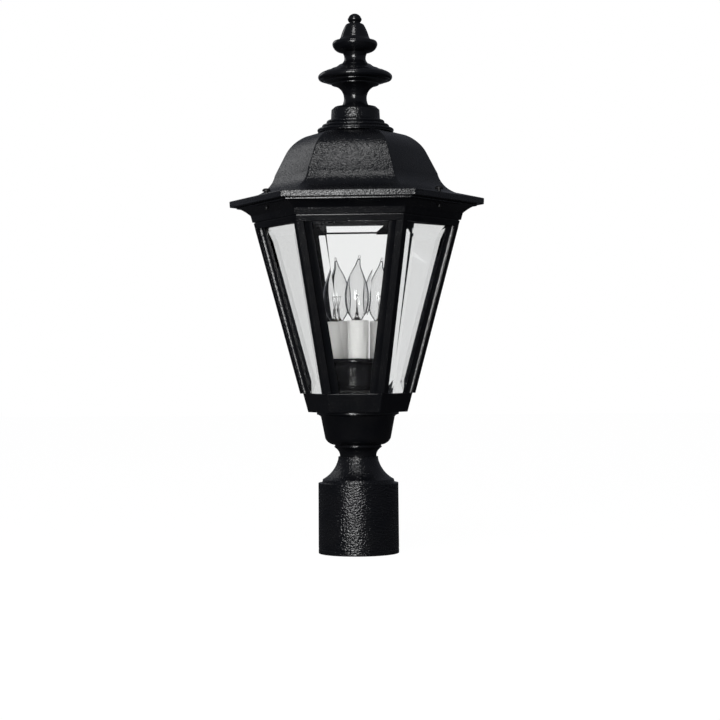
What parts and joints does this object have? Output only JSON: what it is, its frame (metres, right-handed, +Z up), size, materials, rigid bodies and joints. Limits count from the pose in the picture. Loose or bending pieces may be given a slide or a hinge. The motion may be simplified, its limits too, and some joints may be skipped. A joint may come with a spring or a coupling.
{
  "type": "post top lantern",
  "caption": "Hexagonal post top lantern with flared roof, turned finial, bevelled glass panes, candle lamps and a round collar that slips over a post.",
  "frame": {"origin": "centre of the collar's foot, on the axis of the post's socket", "axes": "+Z up along the axis to the finial, -Y out of the front face, +X and -X through corners of the hexagon"},
  "size_m": [0.276, 0.239, 0.5828],
  "materials": {
    "black_paint": "fine textured black powder coat",
    "cluster_black": "glossy black enamel",
    "black_screw": "black coated steel",
    "spring_steel": "dull spring strip",
    "zinc_steel": "zinc plated",
    "brass": "plain drawn brass",
    "clear_glass": "clear bevelled plate",
    "bulb_clear": "clear blown glass",
    "sleeve_white": "smooth satin white",
    "phenolic_black": "moulded phenolic",
    "filament_wire": "fine dark wire"
  },
  "bodies": {
    "cage": {"post_fitter": "black_paint", "cage_cup": "black_paint", "base_ring": "black_paint", "top_frame": "black_paint", "glass_clips": "spring_steel", "center_nipple": "brass", "lower_locknut": "zinc_steel", "upper_locknut": "zinc_steel", "cluster_cup": "cluster_black", "cluster_cover": "cluster_black", "corner_post_1": "black_paint", "glass_pane_1": "clear_glass", "corner_post_2": "black_paint", "glass_pane_2": "clear_glass", "corner_post_3": "black_paint", "glass_pane_3": "clear_glass", "corner_post_4": "black_paint", "glass_pane_4": "clear_glass", "corner_post_5": "black_paint", "glass_pane_5": "clear_glass", "corner_post_6": "black_paint", "glass_pane_6": "clear_glass", "candle_sleeve_1": "sleeve_white", "lamp_socket_1": "phenolic_black", "socket_shell_1": "brass", "candle_sleeve_2": "sleeve_white", "lamp_socket_2": "phenolic_black", "socket_shell_2": "brass", "candle_sleeve_3": "sleeve_white", "lamp_socket_3": "phenolic_black", "socket_shell_3": "brass"},
    "roof_body": {"roof": "black_paint", "crown_cap": "black_paint", "finial_stud": "zinc_steel", "stud_washer": "zinc_steel", "stud_nut": "zinc_steel"},
    "finial_body": {"finial": "black_paint"},
    "roof_screw_1_body": {"roof_screw_1": "black_screw"},
    "roof_screw_2_body": {"roof_screw_2": "black_screw"},
    "roof_screw_3_body": {"roof_screw_3": "black_screw"},
    "set_screw_1_body": {"set_screw_1": "black_screw"},
    "set_screw_2_body": {"set_screw_2": "black_screw"},
    "bulb_1_body": {"bulb_base_1": "brass", "bulb_glass_1": "bulb_clear", "bulb_stem_1": "bulb_clear", "filament_1": "filament_wire"},
    "bulb_2_body": {"bulb_base_2": "brass", "bulb_glass_2": "bulb_clear", "bulb_stem_2": "bulb_clear", "filament_2": "filament_wire"},
    "bulb_3_body": {"bulb_base_3": "brass", "bulb_glass_3": "bulb_clear", "bulb_stem_3": "bulb_clear", "filament_3": "filament_wire"}
  },
  "joints": [
    {"name": "roof_lift", "type": "slide", "parent": "cage", "child": "roof_body", "axis": [0, 0, 1], "range_m": [0, 0.12]},
    {"name": "finial_turn", "type": "hinge", "parent": "roof_body", "child": "finial_body", "pos_m": [0, 0, 0.479], "axis": [0, 0, 1], "continuous": true},
    {"name": "roof_screw_1_back_out", "type": "slide", "parent": "roof_body", "child": "roof_screw_1_body", "axis": [0, 0, 1], "range_m": [0, 0.015]},
    {"name": "roof_screw_2_back_out", "type": "slide", "parent": "roof_body", "child": "roof_screw_2_body", "axis": [0, 0, 1], "range_m": [0, 0.015]},
    {"name": "roof_screw_3_back_out", "type": "slide", "parent": "roof_body", "child": "roof_screw_3_body", "axis": [0, 0, 1], "range_m": [0, 0.015]},
    {"name": "set_screw_1_travel", "type": "slide", "parent": "cage", "child": "set_screw_1_body", "axis": [0.866, 0.5, 0], "range_m": [-0.0008, 0.006]},
    {"name": "set_screw_2_travel", "type": "slide", "parent": "cage", "child": "set_screw_2_body", "axis": [-0.866, 0.5, 0], "range_m": [-0.0008, 0.006]},
    {"name": "bulb_1_turn", "type": "hinge", "parent": "cage", "child": "bulb_1_body", "pos_m": [0.00164, -0.02344, 0.2501], "axis": [0, 0, 1], "continuous": true},
    {"name": "bulb_2_turn", "type": "hinge", "parent": "cage", "child": "bulb_2_body", "pos_m": [0.01948, 0.01314, 0.2501], "axis": [0, 0, 1], "continuous": true},
    {"name": "bulb_3_turn", "type": "hinge", "parent": "cage", "child": "bulb_3_body", "pos_m": [-0.02112, 0.0103, 0.2501], "axis": [0, 0, 1], "continuous": true}
  ]
}
